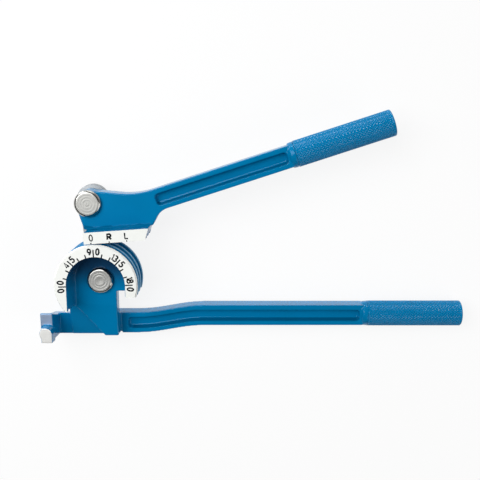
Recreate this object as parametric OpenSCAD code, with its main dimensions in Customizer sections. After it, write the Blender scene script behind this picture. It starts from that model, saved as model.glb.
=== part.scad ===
// Lever tube bender for three tube sizes, lying on its back on a bench.
// X runs along the fixed handle, Y from that handle towards the mandrel, Z up from the bench.
// The origin is on the mandrel axis at bench level.

/* [Tubes and mandrel] */
// Outside diameter of the tube in the front groove
tube_small = 6; // [5:0.5:7]
// Outside diameter of the tube in the middle groove
tube_mid = 8; // [7:0.5:9]
// Outside diameter of the tube in the rear groove
tube_large = 10; // [9:0.5:11]
// Radial clearance of a tube in its groove
tube_clear = 0.1; // [0.05:0.05:0.3]
// Width of each ridge beside the grooves
ridge_w = 1.8; // [1.2:0.1:2.6]
// Outer radius of the ridges
ridge_r = 32.5; // [30:0.5:36]
// Chamfer on the front ridge
front_chamfer = 1.2; // [0.6:0.1:1.6]
// Width of the ring face that carries the degree scale
scale_w = 8.5; // [7:0.5:10]
// Thickness of the printed scale plates
plate_t = 0.4; // [0.3:0.1:1]
// Draft angle of the mandrel pocket
pocket_draft = 6; // [0:0.5:8]
// How far the ring reaches below the mandrel axis on the hook side
ring_left_drop = 20.9; // [14:0.1:22]
// How far the ring reaches below the mandrel axis on the handle side
ring_right_drop = 9.3; // [6:0.1:12]

/* [Body] */
// Thickness of the mandrel floor that the pivot runs in
hub_t = 12; // [9:0.5:16]
// Distance from the mandrel axis down to the body's underside, at the bench
base_drop = 49.5; // [47:0.1:54]
// Draft angle of the body's underside, which rises towards the front
base_draft = 3.5; // [0:0.5:5]
// Clearance between the base bar and the tube in the rear groove
bar_clear = 0.3; // [0.2:0.1:0.8]
// Right edge of the column, from the mandrel axis
column_right = 12.4; // [12:0.1:18]
// Width of the column where it meets the bottom of the base bar
foot_w = 8.5; // [5:0.5:10]
// Fall of the column's front towards its foot
column_fall = 3.5; // [0:0.1:6]
// Step from the mandrel floor down to the apron
apron_step = 0.4; // [0.2:0.1:1]
// Height of the base bar, across the tool
bar_h = 19.2; // [17:0.1:21]
// Draft angle of the base bar's top, which falls towards the back
bar_draft = 14; // [0:0.5:16]
// Width of the hook finger, across the tube
finger_w = 8.5; // [7:0.5:12]
// How far the finger's front face stands outside the ridges
finger_reach = 3; // [2.6:0.1:4]
// Extra distance of the finger's rear part, for the two larger tubes
finger_step = 1.3; // [0.6:0.1:2]
// Height of the finger's front nose
nose_h = 15.4; // [12:0.1:18]
// Corner radius of the finger's front nose
nose_round = 5; // [2:0.5:6]
// Height of the finger's rear part
finger_h = 25; // [22:0.1:27]

/* [Handles] */
// Height of both handle beams
beam_h = 17.3; // [15:0.1:18.5]
// Width of both handle beams
beam_w = 14; // [12:0.5:16]
// Thickness of the flanges beside the handle pockets
flange_t = 4; // [3:0.1:5]
// Thickness of the web between the two pockets of a beam
web_t = 4; // [3:0.5:7]
// Corner radius of the pocket floors
pocket_round = 1.6; // [0.5:0.1:2]
// Run-out of the pocket walls from floor to edge
pocket_slope = 1.2; // [0.5:0.1:2.6]
// Diameter of the grips
grip_d = 21; // [19.5:0.5:23]
// Length of the grips
grip_len = 78; // [60:1:100]
// Wall of the grips round the handle tangs
grip_wall = 2.6; // [1.5:0.1:4]
// Rounding of the grips' free ends
grip_round = 1; // [0.5:0.5:2.5]
// Length of the tapered neck between beam and grip
neck_len = 4; // [3:0.5:12]
// Length of solid beam between a pocket and the neck
pocket_end = 2.5; // [1.5:0.5:6]
// Air between the two handles where they cross
cross_gap = 1; // [1:0.5:4]
// Where the fixed grip begins, from the mandrel axis
fixed_grip_x = 217; // [180:1:260]
// How far the fixed handle's root runs in behind the column
root_run = 4; // [1:0.5:8]
// Where the bend in the fixed handle starts
bend_start = 28; // [27:1:44]
// Length of the bend in the fixed handle
bend_len = 52; // [30:1:60]
// Rise of the fixed handle along its bend
bend_rise = 6.2; // [0:0.2:9]
// Where the fixed handle's pocket begins
fixed_pocket_x = 18; // [16:0.5:27]
// Where the moving grip begins, from the handle pin along the beam
moving_grip_u = 164; // [140:1:200]
// Angle of the moving beam to the shoe
beam_angle = 14; // [10:0.5:18]
// Distance of the moving beam's centre line below the handle pin
beam_offset = 13.9; // [12:0.1:15]
// Where the moving handle's pocket begins
moving_pocket_u = 50.5; // [50:0.5:60]
// Where the beam's lower edge turns down to the blade's heel, along the beam
heel_at = 51.4; // [48:0.1:54]
// Reach of the hollow curve above the heel
heel_curve = 6; // [3:0.5:8]
// Where the beam's upper edge turns up to the ear, along the beam
neck_at = 37.2; // [32:0.1:40]
// Reach of the hollow curve on top of the blade
neck_curve = 13; // [6:0.5:16]
// How far the blade stands out beyond both ends of the shoe
blade_over = 2; // [1:0.1:3]

/* [Shoe] */
// Distance from the handle pin to the shoe's underside
shoe_drop = 29.3; // [28:0.1:34]
// Height of the shoe's front face
shoe_h = 8.9; // [8:0.1:10]
// Reach of the shoe's left end from the handle pin
shoe_left = 3.2; // [2:0.1:3.6]
// Reach of the shoe's right end from the handle pin, at its underside
shoe_right = 43.4; // [38:0.2:46]
// Slant of the shoe's right end over its height
shoe_slant = 3.2; // [0:0.2:5]
// Place of the zero mark on the shoe, from the handle pin
zero_x = 2; // [0:0.5:4]
// Gap between the shoe and the ridges
shoe_gap = 0.45; // [0.4:0.05:0.8]
// Bend angle that the shoe shows at rest
rest_bend = 86; // [40:1:140]
// Radius of the ear round the handle pin
ear_r = 10.1; // [9.5:0.1:12]

/* [Pivots] */
// Diameter of both pivot pins
pin_d = 12; // [10:0.5:13]
// Diameter of the pin heads
head_d = 20.8; // [19:0.2:21.4]
// Height of the pin heads
head_t = 3.5; // [2.5:0.1:5]
// Width of the bevel round the pin heads
head_bevel = 1.8; // [0.5:0.1:2.2]
// Wall of the pivot bushes
bush_wall = 1.5; // [1:0.1:2]
// Radial running clearance of the pins in the bushes
run_clear = 0.04; // [0.02:0.01:0.08]
// Radial clearance of parts that are fixed on one another
fix_clear = 0.01; // [0.01:0.01:0.03]
// Axial play of the link and the pin heads
end_play = 0.05; // [0.03:0.01:0.1]
// Thickness of the link plate
link_t = 6; // [4:0.5:8]
// Radius of the link plate's round ends
link_r = 12.8; // [12:0.1:14]
// Width of the link plate between its ends
link_w = 22; // [18:0.5:25]
// Thickness of the washers on both sides of the link
washer_t = 0.8; // [0.5:0.1:1.5]
// Radial width of the washers
washer_w = 4; // [3:0.5:5]
// Thickness of the retaining rings
ring_t = 1.2; // [0.8:0.1:1.6]
// Radial width of the retaining rings outside the pins
ring_w = 2.4; // [1.5:0.1:3]
// Depth of the pins' ring grooves
ring_depth = 0.8; // [0.5:0.1:1]
// Mouth of the retaining rings
ring_mouth = 70; // [40:5:100]
// Length of pin below the retaining rings
pin_tail = 1.4; // [1:0.1:3]

/* [Hidden] */
$fn = 96;
paint = "#0a6fa5";
white = "#f4f6f2";
steel = "#c8cac6";
plated = "#d0d4da";
bronze = "#b08d57";

// How far cutting shapes run past what they cut
cut = 1;

tubes = [tube_small, tube_mid, tube_large];
// Radius of each groove's round bottom
function groove_round(i) = tubes[i] / 2 + tube_clear;
// Radius of the hook's stop face for each tube, from the mandrel axis
function stop_r(i) = ridge_r + finger_reach + (i == 0 ? 0 : finger_step);
// Radius from the mandrel axis to the centre of each groove
function groove_r(i) = stop_r(i) - groove_round(i);

// Levels above the bench
fixed_axis_z = grip_d / 2;
cast_back = grip_d + cross_gap;
moving_axis_z = cast_back + grip_d / 2;
hub_front = cast_back + hub_t;
blade_front = moving_axis_z + beam_w / 2;
bar_front = cast_back + ridge_w - bar_clear;
mandrel_w = 4 * ridge_w + 2 * (groove_round(0) + groove_round(1) + groove_round(2));
front_z = cast_back + mandrel_w;
// Level of each groove's centre, counted from the front
groove_z = [
    front_z - ridge_w - groove_round(0),
    front_z - 2 * ridge_w - 2 * groove_round(0) - groove_round(1),
    cast_back + ridge_w + groove_round(2)
];
nose_back = groove_z[0] - groove_round(0) - ridge_w / 2;
link_top = cast_back - washer_t - end_play;
link_back = link_top - link_t;
washer_back = link_back - washer_t;
ring_back = washer_back - ring_t;
pin_end = ring_back - pin_tail;

// Mandrel ring
scale_outer = ridge_r - front_chamfer;
scale_inner = scale_outer - scale_w;
pocket_depth = front_z - hub_front;
pocket_run = pocket_depth * tan(pocket_draft);
floor_r = scale_inner - pocket_run;
ring_cut = 2 * ridge_r;
// The legs' inner walls stand this far inside the pocket's round wall
leg_inset = 0.4;

// Base bar and fixed handle
base_low = -base_drop - cut;
bar_top = bar_h - base_drop;
bar_back_top = bar_top - bar_front * tan(bar_draft);
// The apron's left side stays clear of the tube in the rear groove
apron_left = groove_r(2) - groove_round(2) - bar_clear;
root_y = beam_h / 2 - base_drop;
fixed_axis_y = root_y + bend_rise;
hook_left = stop_r(1) + finger_w + finger_step;
bend_steps = 8;
fixed_beam_end = fixed_grip_x - neck_len;
// Centre line of the fixed handle: level, then an S bend, then level again
function ease(t) = t <= 0 ? 0 : t >= 1 ? 1 : t * t * (3 - 2 * t);
function fixed_y(x) = root_y + bend_rise * ease((x - bend_start) / bend_len);
function bend_points(x0, x1) = concat(
    [x0], [for (i = [0:bend_steps]) bend_start + bend_len * i / bend_steps], [x1]);

// Moving handle, drawn with its pin at the origin and its shoe level
tilt = 90 - rest_bend;
pin_rise = shoe_drop + shoe_gap + ridge_r;
link_len = norm([zero_x, pin_rise]);
pin_angle = 90 + tilt + atan(zero_x / pin_rise);
pin_at = link_len * [cos(pin_angle), sin(pin_angle)];
moving_beam_end = moving_grip_u - neck_len;
shoe_top = shoe_h - shoe_drop;
beam_top = beam_h / 2 - beam_offset;
beam_bottom = -beam_h / 2 - beam_offset;
// Point at distance u along the moving beam and v across it, from the handle pin
function beam_point(u, v) = [
    u * cos(beam_angle) - v * sin(beam_angle),
    u * sin(beam_angle) + v * cos(beam_angle)
];
// Curve from a to c that leaves a towards b and reaches c from b
curve_steps = 10;
function curve(a, b, c) = [for (i = [0:curve_steps])
    let (t = i / curve_steps) (1 - t) * (1 - t) * a + 2 * t * (1 - t) * b + t * t * c];
// Point at a distance from a on the way to b
function toward(a, b, distance) = a + distance * (b - a) / norm(b - a);

// Grips and tangs; the necks stay this much inside beams and grips and start this far inside the beams
neck_step = 0.1;
neck_root = 0.5;
neck_r = min(beam_h / 2, grip_d / 2) - neck_step;
tang_r = grip_d / 2 - grip_wall;
tang_len = grip_len - 2 * grip_wall;
pocket_deep = (beam_w - web_t) / 2;

// Bushes
bush_r = pin_d / 2 + run_clear + bush_wall;

// Places children on the moving handle, with the handle pin at their origin
module on_handle() translate([pin_at.x, pin_at.y, 0]) rotate(tilt) children();

// Places children along the moving beam, with X along its centre line
module on_beam() rotate(beam_angle) translate([0, -beam_offset, 0]) children();

// Rod along X
module rod(r, len) rotate([0, 90, 0]) cylinder(r = r, h = len);

// Solid between two outlines with equal numbers of points, the second above the first
module loft(low, low_z, high, high_z) {
    n = len(low);
    sides = [for (i = [0:n - 1]) let (j = (i + 1) % n) [[i, n + j, j], [i, n + i, n + j]]];
    polyhedron(
        points = concat(
            [for (p = low) [p.x, p.y, low_z]],
            [for (p = high) [p.x, p.y, high_z]]),
        faces = concat(
            [[for (i = [0:n - 1]) i]],
            [[for (i = [n - 1:-1:0]) n + i]],
            [for (pair = sides, f = pair) f]));
}

// Quarter of a round corner about a centre, from an angle onwards
corner_steps = 3;
function corner(centre, r, start) = [for (i = [0:corner_steps])
    let (t = start + 90 * i / corner_steps) centre + r * [cos(t), sin(t)]];

// Outline round a centre line of points, with half width h and corner radius r at its level ends
function band(line, h, r) =
    let (last = len(line) - 1, a = line[0] + [r, 0], b = line[last] - [r, 0], in = [0, h - r])
    concat(
        corner(a - in, r, 180),
        [for (i = [1:1:last - 1]) line[i] + [0, -h]],
        corner(b - in, r, 270),
        corner(b + in, r, 0),
        [for (i = [last - 1:-1:1]) line[i] + [0, h]],
        corner(a + in, r, 90));

// Drafted pocket in both sides of a beam about level z, along a centre line of points
module beam_pockets(line, z) {
    last = len(line) - 1;
    floor_h = beam_h / 2 - flange_t - pocket_slope;
    grow = pocket_slope * (pocket_deep + cut) / pocket_deep;
    floor_line = [for (i = [0:last])
        line[i] + [i == 0 ? pocket_slope : i == last ? -pocket_slope : 0, 0]];
    open_line = [for (i = [0:last])
        line[i] + [i == 0 ? pocket_slope - grow : i == last ? grow - pocket_slope : 0, 0]];
    for (side = [0, 1])
        translate([0, 0, z]) mirror([0, 0, side])
            loft(
                band(floor_line, floor_h, pocket_round), web_t / 2,
                band(open_line, floor_h + grow, pocket_round + grow), beam_w / 2 + cut);
}

// Round end of a beam: a neck that widens to the grip, and a tang, along X from the beam's end
module tang()
    translate([-neck_root, 0, 0]) {
        rotate([0, 90, 0])
            cylinder(r1 = neck_r, r2 = grip_d / 2 - neck_step, h = neck_root + neck_len);
        rod(tang_r, neck_root + neck_len + tang_len);
    }

// Closed sleeve with a rounded free end, open at X = 0
module grip() {
    rotate([0, 90, 0])
        difference() {
            union() {
                cylinder(d = grip_d, h = grip_len - grip_round);
                cylinder(d = grip_d - 2 * grip_round, h = grip_len);
                translate([0, 0, grip_len - grip_round])
                    rotate_extrude() translate([grip_d / 2 - grip_round, 0]) circle(grip_round);
            }
            translate([0, 0, -cut]) cylinder(r = tang_r + fix_clear, h = tang_len + fix_clear + cut);
        }
}

// Ring with its three grooves and drafted pocket, before it is trimmed
module grooved_ring() {
    difference() {
        union() {
            translate([0, 0, cast_back]) cylinder(r = ridge_r, h = mandrel_w - front_chamfer);
            translate([0, 0, front_z - front_chamfer])
                cylinder(r1 = ridge_r, r2 = scale_outer, h = front_chamfer);
        }
        for (i = [0:2]) {
            translate([0, 0, groove_z[i]])
                rotate_extrude() translate([groove_r(i), 0]) circle(groove_round(i));
            washer(groove_z[i] - groove_round(i), 2 * ridge_r, groove_r(i), 2 * groove_round(i));
        }
        translate([0, 0, hub_front])
            cylinder(r1 = floor_r, r2 = scale_inner + cut * tan(pocket_draft), h = pocket_depth + cut);
        ring_slot();
    }
}

// Opening below the ring's pocket, between its two drafted legs
module ring_slot() {
    difference() {
        translate([-ridge_r, -ring_cut, hub_front]) cube([2 * ridge_r, ring_cut, pocket_depth + cut]);
        for (side = [0, 1])
            mirror([side, 0, 0])
                translate([leg_inset - floor_r, -ring_cut - cut, hub_front])
                    rotate([0, -pocket_draft, 0])
                        translate([-ring_cut, 0, -ring_cut])
                            cube([ring_cut, ring_cut + 2 * cut, 2 * ring_cut]);
    }
}

// Removes what the ring doesn't have below its legs
module ring_trim() {
    translate([0, -ring_cut - ring_right_drop, 0]) cube([ring_cut, ring_cut, front_z + cut]);
    translate([-ring_cut, -ring_cut - ring_left_drop, 0])
        cube([ring_cut + cut, ring_cut, front_z + cut]);
}

module mandrel() difference() {
    grooved_ring();
    ring_trim();
}

// Upright prism along X over an outline of points [y, z], from x0 to x1
module along_x(x0, x1, outline)
    translate([x0, 0, 0]) rotate([90, 0, 90]) linear_extrude(x1 - x0) polygon(outline);

// Column from the mandrel floor to the bottom of the base bar
module column() {
    intersection() {
        translate([0, 0, cast_back])
            linear_extrude(mandrel_w)
                polygon([
                    [-floor_r, 0], [-floor_r, -ring_left_drop], [column_right - foot_w, base_low],
                    [column_right, base_low], [column_right, 0]
                ]);
        along_x(-ridge_r, ridge_r, [
            [0, cast_back], [0, hub_front], [-ring_left_drop, hub_front],
            [base_low, hub_front - column_fall], [base_low, cast_back]
        ]);
    }
}

// Sloping face that leads from the mandrel floor down to the base bar
module apron()
    along_x(-apron_left, 0, [
        [-ring_left_drop, cast_back], [-ring_left_drop, hub_front - apron_step],
        [base_low, bar_front], [base_low, cast_back]
    ]);

// Finger that the tube's end is hooked behind: a rear part that rises forwards, and a nose in front
module hook() {
    along_x(-hook_left, -stop_r(1), [
        [base_low, 0], [base_low, nose_back], [finger_h - base_drop, nose_back],
        [bar_top - finger_step, bar_front], [bar_back_top, 0]
    ]);
    nose_right = -stop_r(0);
    nose_left = nose_right - finger_w;
    nose_top = nose_h - base_drop;
    translate([0, 0, nose_back - cut])
        linear_extrude(front_z - nose_back + cut)
            union() {
                translate([nose_left, base_low]) square([finger_w, nose_h - nose_round + cut]);
                translate([nose_left, base_low]) square([finger_w - nose_round, nose_h + cut]);
                translate([nose_right - nose_round, nose_top - nose_round]) circle(nose_round);
            }
}

module base_bar()
    along_x(-stop_r(1) - cut, column_right, [
        [base_low, 0], [base_low, bar_front], [bar_top, bar_front], [bar_back_top, 0]
    ]);

// What the drafted underside takes away below mandrel, base bar, hook and the fixed handle's root
module underside() {
    function under(z) = z * tan(base_draft) - base_drop;
    along_x(-hook_left - cut, column_right + cut, [
        [under(-cut), -cut], [under(front_z + cut), front_z + cut],
        [base_low - cut, front_z + cut], [base_low - cut, -cut]
    ]);
}

module fixed_beam() {
    line = [for (x = bend_points(column_right - root_run, fixed_beam_end)) [x, fixed_y(x)]];
    translate([0, 0, fixed_axis_z - beam_w / 2])
        linear_extrude(beam_w)
            polygon(concat(
                [for (p = line) p - [0, beam_h / 2]],
                [for (i = [len(line) - 1:-1:0]) line[i] + [0, beam_h / 2]]));
    translate([fixed_beam_end, fixed_axis_y, fixed_axis_z]) tang();
}

module body_casting() {
    pocket = [for (x = bend_points(fixed_pocket_x, fixed_beam_end - pocket_end)) [x, fixed_y(x)]];
    color(paint)
        difference() {
            union() {
                mandrel();
                column();
                apron();
                base_bar();
                hook();
                fixed_beam();
            }
            underside();
            translate([0, 0, cast_back - cut])
                cylinder(r = bush_r + fix_clear, h = hub_t + 2 * cut);
            beam_pockets(pocket, fixed_axis_z);
        }
}

module fixed_grip()
    color(paint) translate([fixed_grip_x, fixed_axis_y, fixed_axis_z]) grip();

// White printed plate on the mandrel's front face
module degree_scale() {
    color(white)
        difference() {
            translate([0, 0, front_z]) cylinder(r = scale_outer, h = plate_t);
            translate([0, 0, front_z - cut]) cylinder(r = scale_inner, h = plate_t + 2 * cut);
            translate([-scale_inner, -ring_cut, front_z - cut])
                cube([2 * scale_inner, ring_cut, plate_t + 2 * cut]);
            translate([0, 0, cut]) ring_trim();
        }
}

// Shoe of the moving handle, with three channels on its underside
module shoe_block() {
    difference() {
        translate([0, 0, cast_back])
            linear_extrude(mandrel_w)
                polygon([
                    [-shoe_left, -shoe_drop], [shoe_right, -shoe_drop],
                    [shoe_right + shoe_slant, shoe_top], [-shoe_left, shoe_top]
                ]);
        for (i = [0:2])
            translate([-shoe_left - cut, groove_r(i) - ridge_r - shoe_gap - shoe_drop, groove_z[i]])
                rod(groove_round(i), shoe_left + shoe_right + shoe_slant + 2 * cut);
    }
}

// Flat casting of one thickness: the blade between ear and shoe, and the beam that runs on from it
module lever() {
    ear_top = [0, ear_r];
    ear_left = [-ear_r, 0];
    corner_left = [-shoe_left - blade_over, shoe_top];
    heel = [shoe_right + shoe_slant + blade_over, shoe_top];
    heel_turn = beam_point(heel_at, beam_bottom);
    neck_turn = beam_point(neck_at, beam_top);
    // The blade's root lies inside the shoe
    root = [
        [cut - shoe_left, shoe_top], [cut - shoe_left, shoe_top - cut],
        [shoe_right, shoe_top - cut], [shoe_right, shoe_top]
    ];
    outline = concat(
        [ear_left, corner_left], root, [heel],
        curve(
            toward(heel_turn, heel, heel_curve), heel_turn,
            beam_point(heel_at + heel_curve, beam_bottom)),
        [beam_point(moving_beam_end, beam_bottom), beam_point(moving_beam_end, beam_top)],
        curve(
            beam_point(neck_at + neck_curve, beam_top), neck_turn,
            toward(neck_turn, ear_top, neck_curve)),
        [ear_top]);
    translate([0, 0, moving_axis_z - beam_w / 2]) linear_extrude(beam_w) polygon(outline);
    translate([0, 0, cast_back]) cylinder(r = ear_r, h = blade_front - cast_back);
    on_beam() translate([moving_beam_end, 0, moving_axis_z]) tang();
}

module handle_casting() {
    pocket = [[moving_pocket_u, 0], [moving_beam_end - pocket_end, 0]];
    color(paint)
        on_handle()
            difference() {
                union() {
                    shoe_block();
                    lever();
                }
                translate([0, 0, cast_back - cut])
                    cylinder(r = bush_r + fix_clear, h = blade_front - cast_back + 2 * cut);
                on_beam() beam_pockets(pocket, moving_axis_z);
            }
}

module moving_grip()
    color(paint)
        on_handle()
            on_beam() translate([moving_grip_u, 0, moving_axis_z]) grip();

// White printed plate on the shoe's front face
module index_strip() {
    color(white)
        on_handle()
            translate([0, 0, front_z])
                linear_extrude(plate_t)
                    polygon([
                        [-shoe_left, -shoe_drop], [shoe_right, -shoe_drop],
                        [shoe_right + shoe_slant, shoe_top], [-shoe_left, shoe_top]
                    ]);
}

// Flat ring round a pin, standing on level z
module washer(z, outer, inner, t)
    translate([0, 0, z])
        difference() {
            cylinder(r = outer, h = t);
            translate([0, 0, -cut]) cylinder(r = inner, h = t + 2 * cut);
        }

// Pin with a bevelled head on a casting whose front is at level front
module pivot_pin(front) {
    seat = front + end_play;
    difference() {
        union() {
            translate([0, 0, pin_end]) cylinder(d = pin_d, h = seat - pin_end + cut);
            translate([0, 0, seat]) cylinder(d = head_d, h = head_t - head_bevel);
            translate([0, 0, seat + head_t - head_bevel])
                cylinder(d1 = head_d, d2 = head_d - 2 * head_bevel, h = head_bevel);
        }
        washer(ring_back, pin_d, pin_d / 2 - ring_depth, ring_t);
    }
}

// Bush pressed into a casting from its back plane to level front
module bush(front) washer(cast_back, bush_r, pin_d / 2 + run_clear, front - cast_back);

module thrust_washer()
    washer(link_top, pin_d / 2 + fix_clear + washer_w, pin_d / 2 + fix_clear, washer_t);

module back_washer()
    washer(washer_back, pin_d / 2 + fix_clear + washer_w, pin_d / 2 + fix_clear, washer_t);

// Open spring ring in the pin's groove
module pin_ring() {
    outer = pin_d / 2 + ring_w;
    half = outer * tan(ring_mouth / 2);
    difference() {
        washer(ring_back, outer, pin_d / 2 - ring_depth + fix_clear, ring_t);
        translate([0, 0, ring_back - cut])
            linear_extrude(ring_t + 2 * cut)
                polygon([
                    [0, 0], [outer, -half], [outer + half, -half], [outer + half, half], [outer, half]
                ]);
    }
}

module at_handle_pin() translate([pin_at.x, pin_at.y, 0]) children();

module link_plate() {
    color(plated)
        difference() {
            translate([0, 0, link_back])
                linear_extrude(link_t)
                    union() {
                        circle(link_r);
                        translate(pin_at) circle(link_r);
                        rotate(pin_angle) translate([0, -link_w / 2]) square([link_len, link_w]);
                    }
            for (p = [[0, 0], pin_at])
                translate([p.x, p.y, link_back - cut])
                    cylinder(r = pin_d / 2 + fix_clear, h = link_t + 2 * cut);
        }
}

module mandrel_bush() color(bronze) bush(hub_front);
module handle_bush() color(bronze) at_handle_pin() bush(blade_front);
module mandrel_pin() color(steel) pivot_pin(hub_front);
module handle_pin() color(steel) at_handle_pin() pivot_pin(blade_front);
module mandrel_thrust_washer() color(steel) thrust_washer();
module handle_thrust_washer() color(steel) at_handle_pin() thrust_washer();
module mandrel_back_washer() color(steel) back_washer();
module handle_back_washer() color(steel) at_handle_pin() back_washer();
module mandrel_pin_ring() color(steel) pin_ring();
module handle_pin_ring() color(steel) at_handle_pin() pin_ring();

body_casting();
fixed_grip();
degree_scale();
mandrel_bush();
mandrel_pin();
mandrel_thrust_washer();
mandrel_back_washer();
mandrel_pin_ring();
link_plate();
handle_casting();
moving_grip();
index_strip();
handle_bush();
handle_pin();
handle_thrust_washer();
handle_back_washer();
handle_pin_ring();
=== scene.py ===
"""Finished surfaces of a lever tube bender, built round its solids as a Blender add-on.

X runs along the fixed handle, Y from that handle towards the mandrel, Z up from the bench.
The origin is on the mandrel axis at bench level, and every size is in metres.
"""

import math

import bmesh
import bpy
import numpy as np
from bpy.props import FloatProperty, FloatVectorProperty, IntProperty, PointerProperty
from mathutils import Matrix, Vector


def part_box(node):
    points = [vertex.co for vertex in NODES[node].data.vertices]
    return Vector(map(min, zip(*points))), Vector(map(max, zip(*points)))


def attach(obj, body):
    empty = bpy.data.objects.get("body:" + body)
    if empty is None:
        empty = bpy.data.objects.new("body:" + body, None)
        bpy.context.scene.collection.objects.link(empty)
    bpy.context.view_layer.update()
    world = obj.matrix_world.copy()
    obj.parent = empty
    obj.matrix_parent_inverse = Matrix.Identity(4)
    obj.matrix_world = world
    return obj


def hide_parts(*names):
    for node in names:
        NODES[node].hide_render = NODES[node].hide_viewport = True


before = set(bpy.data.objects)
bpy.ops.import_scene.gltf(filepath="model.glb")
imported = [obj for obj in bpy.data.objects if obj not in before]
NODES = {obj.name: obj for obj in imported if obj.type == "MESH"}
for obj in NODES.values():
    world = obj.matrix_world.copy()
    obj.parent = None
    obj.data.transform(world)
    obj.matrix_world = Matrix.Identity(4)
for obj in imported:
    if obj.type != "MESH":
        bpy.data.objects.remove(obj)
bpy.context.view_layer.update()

bl_info = {
    "name": "Tube bender finish",
    "version": (1, 0, 0),
    "blender": (4, 5, 0),
    "location": "3D View > Sidebar > Tube bender",
    "description": "Gives a lever tube bender its cast, knurled, printed and turned surfaces",
    "category": "Object",
}

MM = 0.001

# Levels: the castings' front, the print on it, the blade's face and the step behind the hook's nose
FRONT_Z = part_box("degree_scale")[0].z
PRINT_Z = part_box("degree_scale")[1].z
BLADE_Z = FRONT_Z - 14.3 * MM
STEP_Z = FRONT_Z - 8.9 * MM
# How far an eased face may lie off its level
SLACK = 0.3 * MM

# The mandrel: its scale, the room that its grooves take up, the front edges of the ridges behind
# the scale, and where its round ends above the base
SCALE_OUTER = -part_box("degree_scale")[0].x
SCALE_INNER = SCALE_OUTER - 8.5 * MM
GROOVES_INNER, GROOVES_OUTER, GROOVES_BACK = 25 * MM, 34 * MM, 22.5 * MM
RIDGE_FRONTS = (45.8 * MM, 35.8 * MM, 23.8 * MM)
ROUND_END_Y = -21 * MM

# The hook: its inner side lies between these two, its nose and its step have these ends, and the
# ground corner below the step starts here and runs down at this slope
HOOK_OUTER_X, HOOK_INNER_X = -38 * MM, -SCALE_OUTER - 3 * MM
NOSE_X, STEP_END_Y = -34 * MM, -34.5 * MM
CORNER_Y, CORNER_Z, CORNER_SLOPE = -41 * MM, 24 * MM, 0.36

# The moving handle: its pin, the shoe's top below the pin, and where its grip begins on the beam
HANDLE_PIN = (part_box("handle_pin")[0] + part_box("handle_pin")[1]) / 2
SHOE_TOP = -20.4 * MM
MOVING_GRIP_AT = Vector((164 * MM, -13.9 * MM, 0))
# The shoe is turned by this much at rest, and the moving beam by this much more
SHOE_TILT = math.radians(4)
BEAM_TURN = SHOE_TILT + math.radians(14)

# Both beams: their depth, their web's thickness, and the neck where they widen to the grip
BEAM_DEPTH, WEB, NECK = 14 * MM, 4 * MM, 4 * MM
# How far back from the grips the beams' pockets reach
FIXED_POCKET, MOVING_POCKET = 195 * MM, 116 * MM
GRIP_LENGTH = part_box("fixed_grip")[1].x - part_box("fixed_grip")[0].x
GRIP_RADIUS = (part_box("fixed_grip")[1].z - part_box("fixed_grip")[0].z) / 2


def linear(hex_colour):
    """Scene colour of an sRGB hex value."""
    srgb = [int(hex_colour[i:i + 2], 16) / 255 for i in (1, 3, 5)]
    return tuple(c / 12.92 if c <= 0.04045 else ((c + 0.055) / 1.055) ** 2.4
                 for c in srgb) + (1.0,)


def shaded(tint, share):
    """Scene colour dimmed to a share."""
    return tuple(c * share for c in tint[:3]) + (1.0,)


def colour(name, description, hex_colour):
    """Property of a colour."""
    return FloatVectorProperty(name=name, description=description, subtype="COLOR", size=4,
                               min=0, max=1, default=linear(hex_colour))


def length(name, description, millimetres):
    """Property of a length."""
    return FloatProperty(name=name, description=description, subtype="DISTANCE", unit="LENGTH",
                         precision=5, default=millimetres * MM)


def power(name, description, watts):
    """Property of a lamp's power."""
    return FloatProperty(name=name, description=description, subtype="POWER", unit="POWER",
                         default=watts)


class BenderCastings(bpy.types.PropertyGroup):
    enamel: colour("Enamel", "Colour of the stove enamel on castings and grips", "#0079AE")
    enamel_deep: colour("Deep enamel", "Colour where the enamel lies thicker", "#0071A3")
    grain: length("Grain", "Cell size of the cast surface, which also sets how far edges are eased",
                  0.5)
    easing: IntProperty(name="Easing", description="Rounds of easing on the cast edges",
                        default=4, min=0, max=20)


class BenderGrips(bpy.types.PropertyGroup):
    starts: IntProperty(name="Starts", description="Knurl grooves round the grip",
                        default=32, min=8, max=60)
    depth: length("Knurl depth", "Depth of the knurl grooves", 0.42)
    helix: FloatProperty(name="Helix", description="Angle of the knurl grooves to the grip",
                         subtype="ANGLE", unit="ROTATION", default=math.radians(38))
    fade: length("Fade", "Length over which the knurl runs out at both ends", 1.2)


class BenderPrint(bpy.types.PropertyGroup):
    white: colour("White", "Colour of the printed scales", "#F4F6F2")
    ink: colour("Ink", "Colour of marks and figures", "#10191E")
    figure_height: length("Figure height", "Height of the degree figures", 5.8)
    letter_height: length("Letter height", "Height of the marks on the shoe", 5.6)
    tick_long: length("Long tick", "Length of the ticks beside figures", 5.8)
    tick_short: length("Short tick", "Length of the other ticks", 2.8)
    tick_width: length("Tick width", "Width of all ticks", 1.0)
    stroke: length("Stroke", "Width of the figures' strokes", 1.2)


class BenderPivots(bpy.types.PropertyGroup):
    steel: colour("Steel", "Colour of the turned pivot pins", "#C2C2BE")
    zinc: colour("Zinc", "Colour of the plated link", "#A0A4A7")
    turning: length("Turning", "Spacing of the turning rings on the pin heads", 0.55)


class BenderStage(bpy.types.PropertyGroup):
    floor: colour("Floor", "Colour of the floor", "#FAFAFA")
    lift: FloatProperty(name="Lift", description="How far the floor is lifted towards white",
                        default=0.85)
    key: power("Key", "Power of the main soft lamp", 12.2)
    fill: power("Fill", "Power of the side lamp", 3.0)
    sky: FloatProperty(name="Sky", description="Light from the studio's walls", default=1.0)


def props(name):
    """Settings of one group."""
    return getattr(bpy.context.scene, "bender_" + name)


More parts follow.
